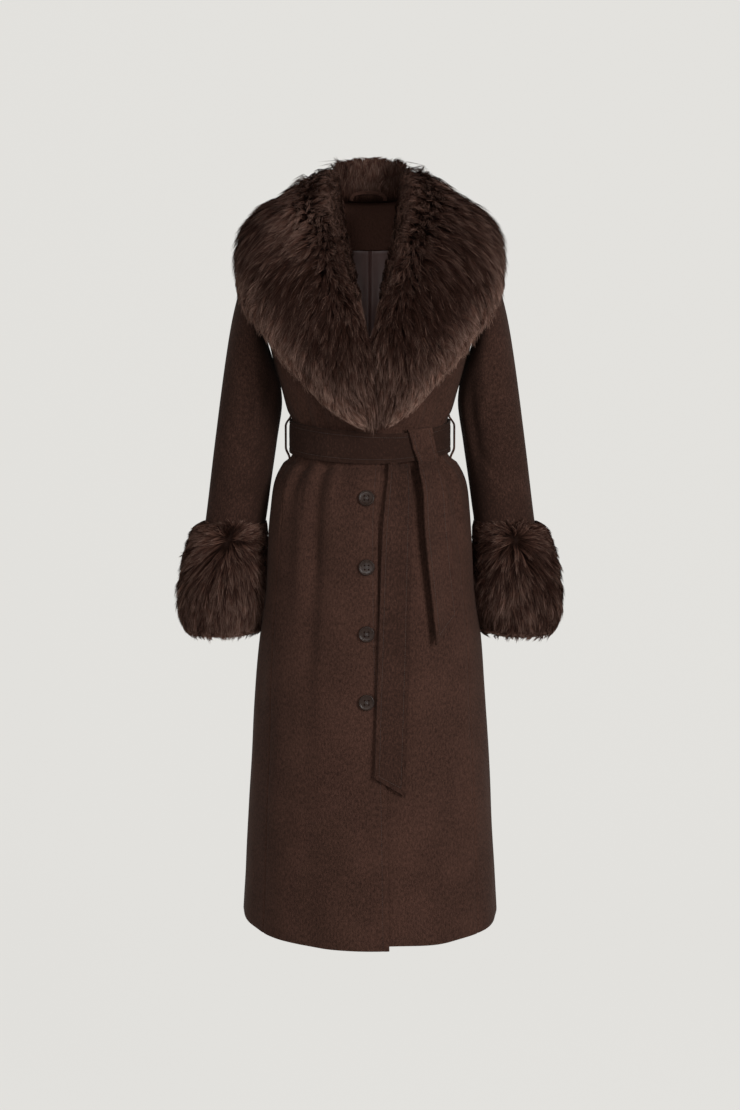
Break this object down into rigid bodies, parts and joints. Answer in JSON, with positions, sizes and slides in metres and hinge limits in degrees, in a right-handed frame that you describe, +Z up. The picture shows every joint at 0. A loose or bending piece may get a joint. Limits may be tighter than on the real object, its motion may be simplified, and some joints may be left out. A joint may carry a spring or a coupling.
{
  "type": "wool coat",
  "caption": "Long belted wool coat with a fur shawl collar and deep fur cuffs, button fastened, hollow as when worn.",
  "frame": {"origin": "midway between the shoulders, at the height where the wearer's shoulders carry the coat", "axes": "+Z up towards the collar, -Y the buttoned front, +X the wearer's left"},
  "size_m": [0.6346, 0.3643, 1.2351],
  "materials": {
    "wool": "matt brushed wool with a short nap",
    "fur": "long soft fur with paler tips",
    "satin": "smooth satin lining",
    "button": "dark horn-like gloss"
  },
  "bodies": {
    "root": {"front_right": "wool", "front_left": "wool", "side_right": "wool", "side_left": "wool", "back": "wool", "back_neck_facing": "wool", "back_lining": "satin", "sleeve_right": "wool", "sleeve_left": "wool", "cuff_right": "fur", "cuff_left": "fur", "collar_right": "fur", "collar_left": "fur", "hanger_loop": "wool", "belt_loop_right": "wool", "belt_loop_left": "wool", "belt_band": "wool", "belt_long_end": "wool", "belt_short_end": "wool", "button_1": "button", "button_2": "button", "button_3": "button", "button_4": "button"}
  },
  "joints": []
}
